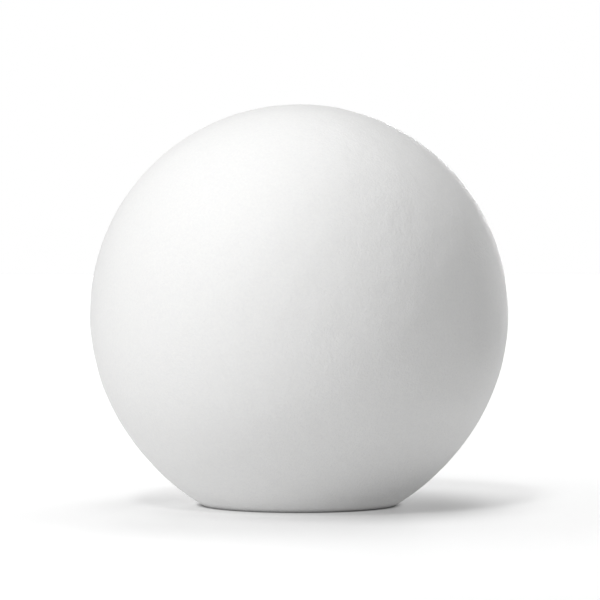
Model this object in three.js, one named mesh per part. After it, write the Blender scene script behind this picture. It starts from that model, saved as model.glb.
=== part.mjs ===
// A plain ball finial for a gate post or a pier cap: one moulded ball that stands on a flat round foot.
// Millimetres, +Z up. The origin is the centre of the foot's underside, on the surface that it stands on.
import * as THREE from "three";

// Driving dimensions
const INCH = 25.4;
const height = 17 * INCH; // from the foot's underside to the crown
const ballDiameter = 17.75 * INCH; // across the ball at its widest
const footDiameter = 206; // the flat of the underside, inside its rounded rim
const rimRadius = 4; // rounding of the rim, between flank and underside
const flankStart = 66; // degrees up the ball from straight below, where the flank leaves the sphere
const flankRise = 31; // degrees above level at which the flank climbs away from the rim

// Fineness of the facets
const facetsRound = 96; // a multiple of 4, so that the widest points lie on the X and Y axes
const flankSteps = 10;
const rimSteps = 3;

const radians = THREE.MathUtils.degToRad;
const quarterTurn = Math.PI / 2;
const facetAngle = (2 * Math.PI) / facetsRound;

// The stretch of the ball's own circle between two angles from level, from the lower to the upper.
function ballArc(fromAngle, toAngle) {
  const ballRadius = ballDiameter / 2;
  const arc = new THREE.ArcCurve(0, height - ballRadius, ballRadius, fromAngle, toAngle, false);
  return arc.getPoints(Math.ceil((toAngle - fromAngle) / facetAngle));
}

// The rounded rim, from the flat of the foot up to the slope of the flank.
function rimArc() {
  const arc = new THREE.ArcCurve(
    footDiameter / 2,
    rimRadius,
    rimRadius,
    -quarterTurn,
    radians(flankRise) - quarterTurn,
    false,
  );
  return arc.getPoints(rimSteps);
}

// The flank: a smooth curve that leaves the rim at its slope and runs into the ball without a crease.
// Each handle is a third of the span, along the direction of the neighbour that it meets.
function flankCurve(rimEnd, ballStart) {
  const handle = rimEnd.distanceTo(ballStart) / 3;
  const ballRise = radians(flankStart);
  const rimHandle = new THREE.Vector2(Math.cos(radians(flankRise)), Math.sin(radians(flankRise)));
  const ballHandle = new THREE.Vector2(Math.cos(ballRise), Math.sin(ballRise));
  return new THREE.CubicBezierCurve(
    rimEnd,
    rimEnd.clone().addScaledVector(rimHandle, handle),
    ballStart.clone().addScaledVector(ballHandle, -handle),
    ballStart,
  ).getPoints(flankSteps);
}

// Half of the finial's outline, from the centre of the underside round to the crown.
// Each stretch starts where the one before it ends, so its first point is left out.
function outline() {
  const centre = new THREE.Vector2(0, 0);
  const crown = new THREE.Vector2(0, height);
  const rim = rimArc();
  const belt = ballArc(radians(flankStart) - quarterTurn, 0);
  const dome = ballArc(0, quarterTurn);
  const flank = flankCurve(rim.at(-1), belt[0]);
  return [centre, ...rim, ...flank.slice(1), ...belt.slice(1), ...dome.slice(1, -1), crown];
}

// Moulded high-density polyurethane with a matt white factory primer.
const primedUrethane = new THREE.MeshStandardMaterial({
  color: 0xefefec,
  roughness: 0.62,
  metalness: 0,
});

function ballFinial() {
  const geometry = new THREE.LatheGeometry(outline(), facetsRound);
  geometry.rotateX(quarterTurn); // the lathe turns about Y, and the finial stands along Z
  const mesh = new THREE.Mesh(geometry, primedUrethane);
  mesh.name = "ball_finial";
  return mesh;
}

const finial = new THREE.Group();
finial.name = "ball_finial_group";
finial.add(ballFinial());

export default finial;
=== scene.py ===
# %% [markdown]
# # A ball finial in matt white primer
# The real thing is one piece of moulded urethane: a ball, 17 inches high, cut flat below so that it
# stands on a gate post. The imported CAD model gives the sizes, and this lesson adds what CAD leaves out:
# the hand-sanded skin, the sprayed primer, and the light that makes a white thing on white readable.

# %% Load the frame
import math

import bpy
import numpy as np
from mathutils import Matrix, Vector


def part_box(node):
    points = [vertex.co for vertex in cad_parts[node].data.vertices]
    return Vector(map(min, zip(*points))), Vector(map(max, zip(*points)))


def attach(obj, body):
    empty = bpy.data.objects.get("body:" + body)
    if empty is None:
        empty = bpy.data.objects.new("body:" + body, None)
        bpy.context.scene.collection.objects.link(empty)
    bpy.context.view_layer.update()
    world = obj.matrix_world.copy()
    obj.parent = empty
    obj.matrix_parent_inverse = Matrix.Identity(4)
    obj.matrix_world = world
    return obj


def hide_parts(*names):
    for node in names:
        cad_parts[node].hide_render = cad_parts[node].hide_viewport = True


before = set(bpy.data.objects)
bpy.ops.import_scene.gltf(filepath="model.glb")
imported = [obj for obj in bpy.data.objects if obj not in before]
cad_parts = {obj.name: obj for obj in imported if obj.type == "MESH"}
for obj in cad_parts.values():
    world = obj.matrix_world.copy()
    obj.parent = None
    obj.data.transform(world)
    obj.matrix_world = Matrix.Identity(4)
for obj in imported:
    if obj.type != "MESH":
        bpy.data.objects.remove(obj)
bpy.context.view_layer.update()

MM = 0.001
FLOOR_MARGIN = 0.01 * MM  # a corner lower than this belongs to the foot's flat

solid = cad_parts["ball_finial"]
corners = np.empty(len(solid.data.vertices) * 3)
solid.data.vertices.foreach_get("co", corners)
corners = corners.reshape(-1, 3)

low_corner, high_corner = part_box("ball_finial")
height = high_corner.z
ball_radius = (high_corner.x - low_corner.x) / 2
on_the_floor = corners[:, 2] < FLOOR_MARGIN
foot_radius = np.hypot(corners[on_the_floor, 0], corners[on_the_floor, 1]).max()
print(f"height {height / MM:.1f} mm, ball {2 * ball_radius / MM:.1f} mm across")
print(f"foot {2 * foot_radius / MM:.1f} mm across")

# %% [markdown]
# ## The outline
# A body of revolution is known once half of its outline is known. Blender could spin a curve with the
# Screw modifier, or flatten a UV sphere. Here the outline is worked out as points instead, because the
# foot needs exact stretches: a flat underside, a small rounded rim, a flank that is straighter than a
# sphere, and then the ball's own circle. Every stretch starts in the direction in which the last ended,
# so that no crease shows in the soft light.

# %% Two kinds of stretch
POINT_SPACING = 3.25 * MM  # finer than the smallest unevenness that the mesh carries
FEWEST_STEPS = 4  # even the small rim gets as many


def arc(centre, radius, start, stop):
    """Part of a circle: centre plus radius times (cosine, sine) of an angle from start to stop."""
    steps = max(FEWEST_STEPS, math.ceil(abs(stop - start) * radius / POINT_SPACING))
    angle = np.linspace(start, stop, steps + 1)
    return np.column_stack([centre[0] + radius * np.cos(angle), centre[1] + radius * np.sin(angle)])


def flank_curve(low, low_direction, high, high_direction):
    """A cubic Bezier curve: the mean of four points with weights (1-t)^3, 3t(1-t)^2, 3t^2(1-t) and t^3.
    Its handles lie along the two directions and are a third of the span long."""
    span = np.linalg.norm(high - low)
    t = np.linspace(0, 1, math.ceil(span / POINT_SPACING) + 1)[:, None]
    low_handle = low + low_direction * span / 3
    high_handle = high - high_direction * span / 3
    inner = 3 * t * (1 - t) ** 2 * low_handle + 3 * t**2 * (1 - t) * high_handle
    return (1 - t) ** 3 * low + inner + t**3 * high


# %% Half of the finial's outline, as (radius, height) from the underside's centre to the crown
RIM_RADIUS = 4 * MM
FLANK_START = math.radians(66)  # how far up the ball, from straight below, the flank leaves the sphere
FLANK_RISE = math.radians(31)  # how steeply the flank climbs away from the rim
UNDERSIDE_STEPS = 16
QUARTER_TURN = math.pi / 2


def direction(angle):
    """The unit step (cosine, sine) of an angle above level."""
    return np.array([math.cos(angle), math.sin(angle)])


def finial_outline():
    """Underside, rim, flank and ball in one row of points, each stretch without the point it shares."""
    ball_centre = (0, height - ball_radius)
    ball = arc(ball_centre, ball_radius, FLANK_START - QUARTER_TURN, QUARTER_TURN)
    rim = arc((foot_radius, RIM_RADIUS), RIM_RADIUS, -QUARTER_TURN, FLANK_RISE - QUARTER_TURN)
    flank = flank_curve(rim[-1], direction(FLANK_RISE), ball[0], direction(FLANK_START))
    underside_radii = np.linspace(0, foot_radius, UNDERSIDE_STEPS + 1)
    underside = np.column_stack([underside_radii, np.zeros_like(underside_radii)])
    return np.vstack([underside, rim[1:], flank[1:], ball[1:]])


outline = finial_outline()
print(f"the outline has {len(outline)} points and is {np.ptp(outline[:, 1]) / MM:.1f} mm high")

# %% [markdown]
# ## The skin
# A cast that was filled and sanded by hand is never a perfect ball. Its surface wanders by some tenths
# of a millimetre over a few fingers' width, and the sprayed primer dries with a fine orange peel. The
# eye can't see such heights, but it sees the slopes, as faint clouds in the shading.
# A Displace modifier with a noise texture would do, or sculpting. Here the height is a sum of many plane
# waves, each with its own direction, length and phase, which is easy to reason about: a wave of height h
# and length L has slopes of 2 pi h / L, so the same slope at every length makes long waves high and
# short waves low. The mesh carries the waves that are long enough for its points, and the finish adds
# pebbles and shallow hollows, as bump.

# %% Heights as a sum of waves
SKIN_SEED = 18
WAVE_COUNT = 160  # so many that no single direction stands out


def wave_heights(points, shortest, longest, slope, count, seed):
    """Sum of count cosines of (wave direction . point * 2 pi / length + phase). Each has the height
    slope * length / (2 pi) * sqrt(2 / count), so that the slopes of them all come to slope in root mean
    square. Lengths are spread evenly in their logarithm between shortest and longest."""
    chance = np.random.default_rng(seed)
    directions = chance.normal(size=(count, 3))
    directions /= np.linalg.norm(directions, axis=1, keepdims=True)
    lengths = np.exp(chance.uniform(math.log(shortest), math.log(longest), count))
    phases = chance.uniform(0, 2 * math.pi, count)
    heights = np.zeros(len(points))
    for step, length, phase in zip(directions, lengths, phases):
        wave = np.cos(points @ step * (2 * math.pi / length) + phase)
        heights += slope * length / (2 * math.pi) * math.sqrt(2 / count) * wave
    return heights


# %% [markdown]
# ## The surface
# The point at (turn, place) on the grid is the outline's point at that place, turned about Z by that
# angle. The relief then moves it along the surface's normal, which is the outline's own normal turned by
# the same angle. The two ends of the outline lie on the axis, so each is a single point with a fan of
# triangles round it, and the last column of faces joins the first: the shell is closed.

# %% The grid of points
def outward_normals(outline_points):
    """The outline's tangent turned a quarter turn clockwise, so that it points away from the inside."""
    tangent = np.gradient(outline_points, axis=0)
    tangent /= np.linalg.norm(tangent, axis=1, keepdims=True)
    return np.column_stack([tangent[:, 1], -tangent[:, 0]])


def turned(pairs, turns):
    """(radius, height) pairs turned about Z: x = r cos(a), y = r sin(a), z = h, for every angle a."""
    radius, rise = pairs[:, 0, None], pairs[:, 1, None]
    flat = np.broadcast_to(rise, (len(pairs), len(turns)))
    return np.stack([radius * np.cos(turns), radius * np.sin(turns), flat], axis=-1)


columns = round(2 * math.pi * ball_radius / POINT_SPACING)
turns = np.arange(columns) * (2 * math.pi / columns)
rings = outline[1:-1]
ring_points = turned(rings, turns)
ring_normals = turned(outward_normals(outline)[1:-1], turns)
print(f"{len(rings)} rings of {columns} points")

# %% The relief, which fades out towards the foot so that it stands flat
SKIN_SLOPE = 0.018  # root mean square, as rise over run
SHORTEST_WAVE = 14 * MM
LONGEST_WAVE = 60 * MM
FADE_HEIGHT = 25 * MM

flat_points = ring_points.reshape(-1, 3)
skin = wave_heights(flat_points, SHORTEST_WAVE, LONGEST_WAVE, SKIN_SLOPE, WAVE_COUNT, SKIN_SEED)
fade = np.clip(flat_points[:, 2] / FADE_HEIGHT, 0, 1)
skin *= fade * fade * (3 - 2 * fade)
skinned = flat_points + skin[:, None] * ring_normals.reshape(-1, 3)
print(f"the relief runs from {skin.min() / MM:.2f} to {skin.max() / MM:.2f} mm")


# %% The faces: quads between rings, and a fan at each pole
def shell_faces(ring_count, column_count):
    """Point 0 is the lower pole, then come the rings from the bottom up, and the last is the crown.
    Seen from outside, each face's corners run anticlockwise."""
    here = np.arange(column_count)
    following = (here + 1) % column_count
    lower = 1 + np.arange(ring_count - 1)[:, None] * column_count
    upper = lower + column_count
    corner_grid = [lower + here, lower + following, upper + following, upper + here]
    quads = np.stack(corner_grid, axis=-1).reshape(-1, 4)
    top_start = 1 + (ring_count - 1) * column_count
    crown = top_start + column_count
    below = np.column_stack([np.zeros_like(here), 1 + following, 1 + here])
    above = np.column_stack([np.full_like(here, crown), top_start + here, top_start + following])
    return below.tolist() + quads.tolist() + above.tolist()


poles = np.array([[0, 0, 0], [0, 0, height]])
points = np.vstack([poles[:1], skinned, poles[1:]])
faces = shell_faces(len(rings), columns)

shell = bpy.data.meshes.new("primed_ball")
shell.from_pydata(points.tolist(), [], faces)
shell.polygons.foreach_set("use_smooth", np.ones(len(faces), dtype=bool))
shell.update()
ball = bpy.data.objects.new("primed_ball", shell)
bpy.context.scene.collection.objects.link(ball)
triangles = sum(len(face) - 2 for face in faces)
print(f"primed_ball: {len(points)} points, {triangles} triangles")

# %% [markdown]
# ## Colours and nodes
# A colour picker shows sRGB values, but shaders add up light, which is linear. One function turns a hex
# colour into linear light, and another adds a node with its settings and its links, so that a material
# reads like a recipe.

# %% Two helpers for materials
def linear(hex_colour):
    """An sRGB hex colour as linear red, green, blue and alpha."""
    shares = [int(hex_colour[i : i + 2], 16) / 255 for i in (1, 3, 5)]
    light = [s / 12.92 if s <= 0.04045 else ((s + 0.055) / 1.055) ** 2.4 for s in shares]
    return (*light, 1.0)


def add_node(tree, kind, inputs=None, **settings):
    """Adds one node. The settings are its own properties; inputs gives each socket a value or a link."""
    made = tree.nodes.new(kind)
    for name, value in settings.items():
        setattr(made, name, value)
    for socket, value in (inputs or {}).items():
        if isinstance(value, bpy.types.NodeSocket):
            tree.links.new(value, made.inputs[socket])
        else:
            made.inputs[socket].default_value = value
    return made


# %% [markdown]
# ## The finish
# The maker sprays the sanded urethane with a matt white factory primer, ready for the owner's paint.
# Flat white primer sends back about four fifths of the light, in every direction, with only a broad, dull
# sheen. Its droplets dry before they flow out, so the film is pebbled, and a little whiter where it is
# thicker. One noise stands for how thick the film is and sets colour, sheen and height together. The
# colour is darker where the noise is low, in the pebbles' hollows: partly thinner film, partly painted
# shade that stands in for the pebbles' own shading. A picture wrapped round the ball would do it too, but
# would show a seam and two poles. Under the film, filler and sanding have left shallow hollows about a
# finger's width across.

# %% The sizes of the pebbles and the hollows
# Real pebbles are about half a millimetre wide, which is less than a pixel. They are drawn six times as
# wide and as high, since the eye reads slopes, and those stay the same. Heights and depths go from the
# noise's lowest to its highest value, and it mostly uses the middle third.
PEBBLE_WIDTH = 3 * MM
PEBBLE_HEIGHT = 0.33 * MM
HOLLOW_WIDTH = 14 * MM
HOLLOW_DEPTH = 0.48 * MM

# %% What the film is like where it is thin and where it is thick
# The film counts as thinnest up to one of the noise's values, and as thickest from the other on.
THIN_FILM = 0.25
THICK_FILM = 0.75
# The thin colour sits in the pebbles' hollows: partly thinner film, partly painted shade for the pebbles'
# own shading.
THIN_FILM_AND_SHADE_COLOUR = "#e4e4e4"
THICK_FILM_AND_LIT_COLOUR = "#e8e8e7"
THIN_ROUGHNESS = 0.66
THICK_ROUGHNESS = 0.58
PRIMER_IOR = 1.5


# %% Matt white primer, sprayed over moulded urethane
def primed_urethane():
    """What it gives the eye: soft white, a dull sheen, and a fine grain that raking light brings out,
    with painted shade in the grain's hollows.
    """
    material = bpy.data.materials.new("matt_white_primer_sprayed")
    material.use_nodes = True
    tree = material.node_tree
    tree.nodes.clear()
    place = add_node(tree, "ShaderNodeTexCoord").outputs["Object"]
    film = add_node(
        tree,
        "ShaderNodeTexNoise",
        {"Vector": place, "Scale": 1 / PEBBLE_WIDTH, "Detail": 1.0, "Roughness": 1.0},
    ).outputs["Fac"]
    thickness_and_shade = add_node(
        tree, "ShaderNodeMapRange", {"Value": film, "From Min": THIN_FILM, "From Max": THICK_FILM}
    ).outputs["Result"]
    colour = add_node(
        tree,
        "ShaderNodeMix",
        {"Factor": thickness_and_shade, "A": linear(THIN_FILM_AND_SHADE_COLOUR), "B": linear(THICK_FILM_AND_LIT_COLOUR)},
        data_type="RGBA",
    ).outputs["Result"]
    sheen = add_node(
        tree,
        "ShaderNodeMapRange",
        {"Value": thickness_and_shade, "To Min": THIN_ROUGHNESS, "To Max": THICK_ROUGHNESS},
    ).outputs["Result"]
    hollows = add_node(
        tree, "ShaderNodeTexNoise", {"Vector": place, "Scale": 1 / HOLLOW_WIDTH, "Detail": 1.0}
    ).outputs["Fac"]
    sanded = add_node(
        tree, "ShaderNodeBump", {"Height": hollows, "Distance": HOLLOW_DEPTH}
    ).outputs["Normal"]
    pebbled = add_node(
        tree, "ShaderNodeBump", {"Height": film, "Distance": PEBBLE_HEIGHT, "Normal": sanded}
    ).outputs["Normal"]
    surface = add_node(
        tree,
        "ShaderNodeBsdfPrincipled",
        {"Base Color": colour, "Roughness": sheen, "IOR": PRIMER_IOR, "Normal": pebbled},
    ).outputs["BSDF"]
    add_node(tree, "ShaderNodeOutputMaterial", {"Surface": surface})
    return material


shell.materials.append(primed_urethane())
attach(ball, "root")
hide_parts("ball_finial")
print(f"{ball.name} wears {shell.materials[0].name}")

# %% [markdown]
# ## The studio
# The finial stands on a sheet of opal acrylic that glows. The glow is painted light: it washes out much
# of the ball's shadow and lights the flank just above the foot. Two things keep it from looking as if the
# ball floats. The glow is nil up to the foot's edge and rises just outside it, which paints the thin dark
# line of contact. And near the foot the glow is weaker on the right and stays low under the ball, a
# painted shadow that puts the right side in the deeper shade. Further out both sides brighten, until the
# ground is white all round. A plain white sheet with more lamps would be simpler, but a lamp that
# lightens the shadow lights the whole side of the ball that faces it, while the glow reaches mostly the
# ball's lower half.

# %% The glow of the table, which paints the shadow round the foot
# The glow is nil out to the foot's edge and rises over the blur: a painted dark line of contact round the
# foot.
PAINTED_CONTACT_LINE_EDGE = foot_radius
PAINTED_CONTACT_LINE_BLUR = 12 * MM  # the card's edge shows blurred, as wide as the sheet and the gap below are deep
SIDE_BLEND = 200 * MM  # this far to either side, that side's share holds in full
# Each step: where it starts and ends, as distances from the middle, and what it adds to the glow on the
# left and on the right, as shares of pure white. The shares were fitted to the photograph's tones.
# The steps paint shadow: the dark line of contact where the first begins, and a pool under the ball that
# is deeper on the right, where the right's shares are smaller near the foot.
PAINTED_SHADOW_GLOW_STEPS = (
    (PAINTED_CONTACT_LINE_EDGE, PAINTED_CONTACT_LINE_EDGE + PAINTED_CONTACT_LINE_BLUR, 0.47, 0.18),  # out from under the card
    (140 * MM, 300 * MM, -0.07, 0.16),  # out from under the ball
    (250 * MM, 650 * MM, 0.26, 0.12),  # the open table near the ball
    (1000 * MM, 2000 * MM, 0.0, 0.06),  # far out, the right side is lifted to white too
)


def painted_shadow_glow(tree):
    """Smooth steps outwards from the middle, added up. The height of each changes smoothly from its left
    share to its right share. Low at the foot and under the ball, and lower on the right, the glow paints
    the shadow round the foot."""
    place = add_node(tree, "ShaderNodeTexCoord").outputs["Object"]
    across = add_node(tree, "ShaderNodeSeparateXYZ", {"Vector": place}).outputs["X"]
    away = add_node(tree, "ShaderNodeVectorMath", {"Vector": place}, operation="LENGTH").outputs["Value"]

    glow = 0.0
    for start, stop, left, right in PAINTED_SHADOW_GLOW_STEPS:
        share = add_node(
            tree,
            "ShaderNodeMapRange",
            {
                "Value": across,
                "From Min": -SIDE_BLEND,
                "From Max": SIDE_BLEND,
                "To Min": left,
                "To Max": right,
            },
            interpolation_type="SMOOTHSTEP",
        ).outputs["Result"]
        rise = add_node(
            tree,
            "ShaderNodeMapRange",
            {"Value": away, "From Min": start, "From Max": stop, "To Max": share},
            interpolation_type="SMOOTHSTEP",
        ).outputs["Result"]
        glow = add_node(tree, "ShaderNodeMath", {0: glow, 1: rise}, operation="ADD").outputs["Value"]
    return glow


# %% The glowing table, with its painted shadow
TABLE_HALF = 40.0  # metres, so large that its edge lies near the horizon
ACRYLIC_COLOUR = "#cfcfcf"
ACRYLIC_ROUGHNESS = 0.9  # opal acrylic for light tables has a dull face
ACRYLIC_IOR = 1.49


def floor_with_painted_shadow():
    """A flat square sheet of opal acrylic at the height of the foot's underside, whose glow is painted
    light and paints the pool of shadow round the foot.
    """
    reach = TABLE_HALF
    sheet_corners = [(-reach, -reach, 0), (reach, -reach, 0), (reach, reach, 0), (-reach, reach, 0)]
    sheet = bpy.data.meshes.new("floor_with_painted_shadow")
    sheet.from_pydata(sheet_corners, [], [(0, 1, 2, 3)])
    material = bpy.data.materials.new("opal_acrylic_glowing_with_painted_shadow")
    material.use_nodes = True
    tree = material.node_tree
    shader = tree.nodes["Principled BSDF"]
    shader.inputs["Base Color"].default_value = linear(ACRYLIC_COLOUR)
    shader.inputs["Roughness"].default_value = ACRYLIC_ROUGHNESS
    shader.inputs["IOR"].default_value = ACRYLIC_IOR
    shader.inputs["Emission Color"].default_value = linear("#ffffff")
    tree.links.new(painted_shadow_glow(tree), shader.inputs["Emission Strength"])
    sheet.materials.append(material)
    table = bpy.data.objects.new("floor_with_painted_shadow", sheet)
    bpy.context.scene.collection.objects.link(table)
    return table


print(f"{floor_with_painted_shadow().name}: {2 * TABLE_HALF:.0f} m wide, with {len(PAINTED_SHADOW_GLOW_STEPS)} steps of glow")


# %% The white wall behind
def white_wall():
    """A world of even white that only the camera sees. It lights nothing: table and lamps do all that."""
    world = bpy.data.worlds.new("white_wall")
    world.use_nodes = True
    tree = world.node_tree
    tree.nodes.clear()
    seen = add_node(tree, "ShaderNodeLightPath").outputs["Is Camera Ray"]
    wall = add_node(tree, "ShaderNodeBackground", {"Color": linear("#ffffff"), "Strength": seen})
    add_node(tree, "ShaderNodeOutputWorld", {"Surface": wall.outputs["Background"]})
    return world


bpy.context.scene.world = white_wall()
print(f"the world is {bpy.context.scene.world.name}")

# %% [markdown]
# ## The lamps
# A white ball on white needs one side to be darker, or its form is lost. So the key light comes from the
# left and high up, as one far softbox and one near, and the right side gets the least. Two panels
# overhead lay the soft pool of shadow round the foot. Three low lamps lift the ball's edge, so that it
# reads against its own shadow. Directions, widths and strengths were fitted to the photograph's tones,
# so they say how the picture can be lit, not how the real studio was.
# Three of the lamps would throw streaks of shadow across the table. A photographer hangs a black flag
# below such a lamp, so that its light reaches the ball alone, and Blender's light linking does the same.

# %% Two kinds of lamp, and a flag
def lamp_direction(azimuth, elevation):
    """From the ball towards a lamp. Azimuth is in degrees from the camera's side, towards +X."""
    around, up = math.radians(azimuth), math.radians(elevation)
    return Vector((math.sin(around) * math.cos(up), -math.cos(around) * math.cos(up), math.sin(up)))


def place_lamp(name, lamp, towards):
    """Hangs a lamp so that it shines back along its direction, out of the camera's sight."""
    holder = bpy.data.objects.new(name, lamp)
    holder.rotation_euler = towards.to_track_quat("Z", "Y").to_euler()
    holder.visible_camera = False
    bpy.context.scene.collection.objects.link(holder)
    return holder


def soft_lamp(name, azimuth, elevation, strength, spread):
    """A far, wide lamp that lights everything evenly, right to the horizon. Strength is in watts per
    square metre, and spread is its width in degrees, as seen from the ball."""
    lamp = bpy.data.lights.new(name, "SUN")
    lamp.energy = strength
    lamp.angle = math.radians(spread)
    return place_lamp(name, lamp, lamp_direction(azimuth, elevation))


def near_softbox(name, azimuth, elevation, distance, width, power):
    """A round softbox that faces the ball from nearer by, so its light falls off a little across the
    ball. Distance and width are in metres, and power in watts."""
    lamp = bpy.data.lights.new(name, "AREA")
    lamp.shape = "DISK"
    lamp.size = width
    lamp.energy = power
    towards = lamp_direction(azimuth, elevation)
    holder = place_lamp(name, lamp, towards)
    holder.location = Vector((0, 0, height / 2)) + distance * towards
    return holder


ball_alone = bpy.data.collections.new("ball_alone")
ball_alone.objects.link(ball)


def flag(holder):
    """Keeps a lamp's light off the table."""
    holder.light_linking.receiver_collection = ball_alone


# %% The lamps that light ball and table
# The bright side, at the upper left
soft_lamp("key_softbox", azimuth=-20, elevation=56, strength=0.87, spread=10)
# The crown, and the pool of shadow round the foot
soft_lamp("front_overhead_panel", azimuth=-3, elevation=85, strength=1.02, spread=31)
# The crown's far side, and the shadow in front
soft_lamp("rear_overhead_panel", azimuth=165, elevation=63, strength=0.72, spread=32)
# A thin light line round the outline
soft_lamp("wall_wash_behind", azimuth=171, elevation=3.4, strength=1.29, spread=16)

# %% The lamps that light the ball alone
# Strengthens the key on the near side
flag(near_softbox("key_softbox_near", azimuth=-51, elevation=44, distance=3.42, width=0.3, power=41.9))
# The outline's right side
flag(soft_lamp("edge_lamp_behind_right", azimuth=148, elevation=2.8, strength=0.34, spread=8))
# The left flank
flag(soft_lamp("low_fill_left", azimuth=-54, elevation=1.0, strength=0.72, spread=8))

# %% [markdown]
# ## The camera
# A long lens from over three metres away, a little above the ball's middle and all but level, so the
# foot's edge shows only as a shallow curve.

# %% The camera
PICTURE_WIDTH = 600  # pixels
FOCAL_PIXELS = 2963  # the lens's focal length, counted in pixels of the picture
SENSOR_WIDTH = 36  # millimetres, as in a full-frame camera
CAMERA_DISTANCE = 3200 * MM
CAMERA_PITCH = math.radians(0.83)
AIM = Vector((0.9 * MM, 0, 221 * MM))

lens = bpy.data.cameras.new("camera")
lens.sensor_width = SENSOR_WIDTH
lens.lens = FOCAL_PIXELS * SENSOR_WIDTH / PICTURE_WIDTH
camera = bpy.data.objects.new("camera", lens)
back = Vector((0, -math.cos(CAMERA_PITCH), math.sin(CAMERA_PITCH)))
camera.location = AIM + CAMERA_DISTANCE * back
camera.rotation_euler = back.to_track_quat("Z", "Y").to_euler()
bpy.context.scene.collection.objects.link(camera)
bpy.context.scene.camera = camera
bpy.context.scene.view_settings.view_transform = "Standard"
print(f"lens {lens.lens:.1f} mm at {camera.location.z / MM:.0f} mm above the floor")
